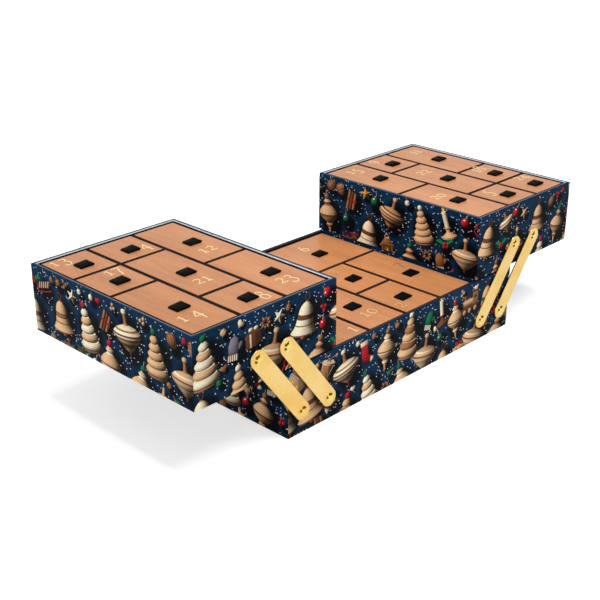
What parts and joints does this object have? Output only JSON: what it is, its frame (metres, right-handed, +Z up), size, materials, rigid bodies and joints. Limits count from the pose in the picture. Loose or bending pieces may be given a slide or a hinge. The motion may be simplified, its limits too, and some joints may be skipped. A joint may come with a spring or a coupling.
{
  "type": "advent calendar box",
  "caption": "Cantilever advent calendar box: its upper trays swing out on flat brass arms, and loose lids with pull loops cover numbered compartments.",
  "frame": {"origin": "middle of the base box's underside, on the surface that it stands on", "axes": "+X along the box towards the right tray, the way the trays swing out; +Y towards the back; +Z up. The row is open, with both trays swung out"},
  "size_m": [0.5928, 0.2484, 0.15],
  "materials": {
    "printed_board": "printed wrap, satin",
    "dark_board": "painted, matt",
    "lid_wood": "satin veneer",
    "brass": "satin"
  },
  "bodies": {
    "base": {"base_shell": "printed_board", "base_divider_grid": "dark_board", "base_side_deck_left": "dark_board", "base_side_deck_right": "dark_board", "left_front_outer_arm_base_rivet": "brass", "left_front_inner_arm_base_rivet": "brass", "left_back_outer_arm_base_rivet": "brass", "left_back_inner_arm_base_rivet": "brass", "right_front_outer_arm_base_rivet": "brass", "right_front_inner_arm_base_rivet": "brass", "right_back_outer_arm_base_rivet": "brass", "right_back_inner_arm_base_rivet": "brass"},
    "left_tray": {"left_tray_shell": "printed_board", "left_tray_divider_grid": "dark_board", "left_front_outer_arm_tray_rivet": "brass", "left_front_inner_arm_tray_rivet": "brass", "left_back_outer_arm_tray_rivet": "brass", "left_back_inner_arm_tray_rivet": "brass"},
    "left_front_outer_arm": {"left_front_outer_arm": "brass"},
    "left_front_inner_arm": {"left_front_inner_arm": "brass"},
    "left_back_outer_arm": {"left_back_outer_arm": "brass"},
    "left_back_inner_arm": {"left_back_inner_arm": "brass"},
    "right_tray": {"right_tray_shell": "printed_board", "right_tray_divider_grid": "dark_board", "right_front_outer_arm_tray_rivet": "brass", "right_front_inner_arm_tray_rivet": "brass", "right_back_outer_arm_tray_rivet": "brass", "right_back_inner_arm_tray_rivet": "brass"},
    "right_front_outer_arm": {"right_front_outer_arm": "brass"},
    "right_front_inner_arm": {"right_front_inner_arm": "brass"},
    "right_back_outer_arm": {"right_back_outer_arm": "brass"},
    "right_back_inner_arm": {"right_back_inner_arm": "brass"},
    "lid_01": {"lid_01": "lid_wood"},
    "lid_02": {"lid_02": "lid_wood"},
    "lid_03": {"lid_03": "lid_wood"},
    "lid_04": {"lid_04": "lid_wood"},
    "lid_05": {"lid_05": "lid_wood"},
    "lid_06": {"lid_06": "lid_wood"},
    "lid_07": {"lid_07": "lid_wood"},
    "lid_08": {"lid_08": "lid_wood"},
    "lid_09": {"lid_09": "lid_wood"},
    "lid_10": {"lid_10": "lid_wood"},
    "lid_11": {"lid_11": "lid_wood"},
    "lid_12": {"lid_12": "lid_wood"},
    "lid_13": {"lid_13": "lid_wood"},
    "lid_14": {"lid_14": "lid_wood"},
    "lid_15": {"lid_15": "lid_wood"},
    "lid_16": {"lid_16": "lid_wood"},
    "lid_17": {"lid_17": "lid_wood"},
    "lid_18": {"lid_18": "lid_wood"},
    "lid_19": {"lid_19": "lid_wood"},
    "lid_20": {"lid_20": "lid_wood"},
    "lid_21": {"lid_21": "lid_wood"},
    "lid_22": {"lid_22": "lid_wood"},
    "lid_23": {"lid_23": "lid_wood"},
    "lid_24": {"lid_24": "lid_wood"}
  },
  "joints": [
    {"name": "left_swing", "type": "hinge", "parent": "base", "child": "left_front_outer_arm", "pos_m": [-0.1639, 0, 0.025], "axis": [0, -1, 0], "range_deg": [-74, 0]},
    {"name": "left_tray_level", "type": "hinge", "parent": "left_front_outer_arm", "child": "left_tray", "pos_m": [-0.22137, 0, 0.10127], "axis": [0, -1, 0], "range_deg": [0, 74]},
    {"name": "left_front_inner_swing", "type": "hinge", "parent": "base", "child": "left_front_inner_arm", "pos_m": [-0.1266, 0, 0.025], "axis": [0, -1, 0], "range_deg": [-74, 0]},
    {"name": "left_back_outer_swing", "type": "hinge", "parent": "base", "child": "left_back_outer_arm", "pos_m": [-0.1639, 0, 0.025], "axis": [0, -1, 0], "range_deg": [-74, 0]},
    {"name": "left_back_inner_swing", "type": "hinge", "parent": "base", "child": "left_back_inner_arm", "pos_m": [-0.1266, 0, 0.025], "axis": [0, -1, 0], "range_deg": [-74, 0]},
    {"name": "right_swing", "type": "hinge", "parent": "base", "child": "right_front_outer_arm", "pos_m": [0.1639, 0, 0.025], "axis": [0, 1, 0], "range_deg": [-74, 0]},
    {"name": "right_tray_level", "type": "hinge", "parent": "right_front_outer_arm", "child": "right_tray", "pos_m": [0.22137, 0, 0.10127], "axis": [0, 1, 0], "range_deg": [0, 74]},
    {"name": "right_front_inner_swing", "type": "hinge", "parent": "base", "child": "right_front_inner_arm", "pos_m": [0.1266, 0, 0.025], "axis": [0, 1, 0], "range_deg": [-74, 0]},
    {"name": "right_back_outer_swing", "type": "hinge", "parent": "base", "child": "right_back_outer_arm", "pos_m": [0.1639, 0, 0.025], "axis": [0, 1, 0], "range_deg": [-74, 0]},
    {"name": "right_back_inner_swing", "type": "hinge", "parent": "base", "child": "right_back_inner_arm", "pos_m": [0.1266, 0, 0.025], "axis": [0, 1, 0], "range_deg": [-74, 0]},
    {"name": "lid_01_lift", "type": "slide", "parent": "base", "child": "lid_01", "axis": [0, 0, 1], "range_m": [0, 0.11]},
    {"name": "lid_02_lift", "type": "slide", "parent": "base", "child": "lid_02", "axis": [0, 0, 1], "range_m": [0, 0.11]},
    {"name": "lid_03_lift", "type": "slide", "parent": "base", "child": "lid_03", "axis": [0, 0, 1], "range_m": [0, 0.11]},
    {"name": "lid_04_lift", "type": "slide", "parent": "left_tray", "child": "lid_04", "axis": [0, 0, 1], "range_m": [0, 0.06]},
    {"name": "lid_05_lift", "type": "slide", "parent": "right_tray", "child": "lid_05", "axis": [0, 0, 1], "range_m": [0, 0.06]},
    {"name": "lid_06_lift", "type": "slide", "parent": "base", "child": "lid_06", "axis": [0, 0, 1], "range_m": [0, 0.11]},
    {"name": "lid_07_lift", "type": "slide", "parent": "base", "child": "lid_07", "axis": [0, 0, 1], "range_m": [0, 0.11]},
    {"name": "lid_08_lift", "type": "slide", "parent": "left_tray", "child": "lid_08", "axis": [0, 0, 1], "range_m": [0, 0.06]},
    {"name": "lid_09_lift", "type": "slide", "parent": "right_tray", "child": "lid_09", "axis": [0, 0, 1], "range_m": [0, 0.06]},
    {"name": "lid_10_lift", "type": "slide", "parent": "base", "child": "lid_10", "axis": [0, 0, 1], "range_m": [0, 0.11]},
    {"name": "lid_11_lift", "type": "slide", "parent": "right_tray", "child": "lid_11", "axis": [0, 0, 1], "range_m": [0, 0.06]},
    {"name": "lid_12_lift", "type": "slide", "parent": "left_tray", "child": "lid_12", "axis": [0, 0, 1], "range_m": [0, 0.06]},
    {"name": "lid_13_lift", "type": "slide", "parent": "left_tray", "child": "lid_13", "axis": [0, 0, 1], "range_m": [0, 0.06]},
    {"name": "lid_14_lift", "type": "slide", "parent": "left_tray", "child": "lid_14", "axis": [0, 0, 1], "range_m": [0, 0.06]},
    {"name": "lid_15_lift", "type": "slide", "parent": "right_tray", "child": "lid_15", "axis": [0, 0, 1], "range_m": [0, 0.06]},
    {"name": "lid_16_lift", "type": "slide", "parent": "base", "child": "lid_16", "axis": [0, 0, 1], "range_m": [0, 0.11]},
    {"name": "lid_17_lift", "type": "slide", "parent": "left_tray", "child": "lid_17", "axis": [0, 0, 1], "range_m": [0, 0.06]},
    {"name": "lid_18_lift", "type": "slide", "parent": "right_tray", "child": "lid_18", "axis": [0, 0, 1], "range_m": [0, 0.06]},
    {"name": "lid_19_lift", "type": "slide", "parent": "base", "child": "lid_19", "axis": [0, 0, 1], "range_m": [0, 0.11]},
    {"name": "lid_20_lift", "type": "slide", "parent": "right_tray", "child": "lid_20", "axis": [0, 0, 1], "range_m": [0, 0.06]},
    {"name": "lid_21_lift", "type": "slide", "parent": "left_tray", "child": "lid_21", "axis": [0, 0, 1], "range_m": [0, 0.06]},
    {"name": "lid_22_lift", "type": "slide", "parent": "right_tray", "child": "lid_22", "axis": [0, 0, 1], "range_m": [0, 0.06]},
    {"name": "lid_23_lift", "type": "slide", "parent": "left_tray", "child": "lid_23", "axis": [0, 0, 1], "range_m": [0, 0.06]},
    {"name": "lid_24_lift", "type": "slide", "parent": "right_tray", "child": "lid_24", "axis": [0, 0, 1], "range_m": [0, 0.06]}
  ],
  "couplings": [
    {"joint": "left_tray_level", "follows": "left_swing", "ratio": -1},
    {"joint": "left_front_inner_swing", "follows": "left_swing", "ratio": 1},
    {"joint": "left_back_outer_swing", "follows": "left_swing", "ratio": 1},
    {"joint": "left_back_inner_swing", "follows": "left_swing", "ratio": 1},
    {"joint": "right_tray_level", "follows": "right_swing", "ratio": -1},
    {"joint": "right_front_inner_swing", "follows": "right_swing", "ratio": 1},
    {"joint": "right_back_outer_swing", "follows": "right_swing", "ratio": 1},
    {"joint": "right_back_inner_swing", "follows": "right_swing", "ratio": 1}
  ]
}
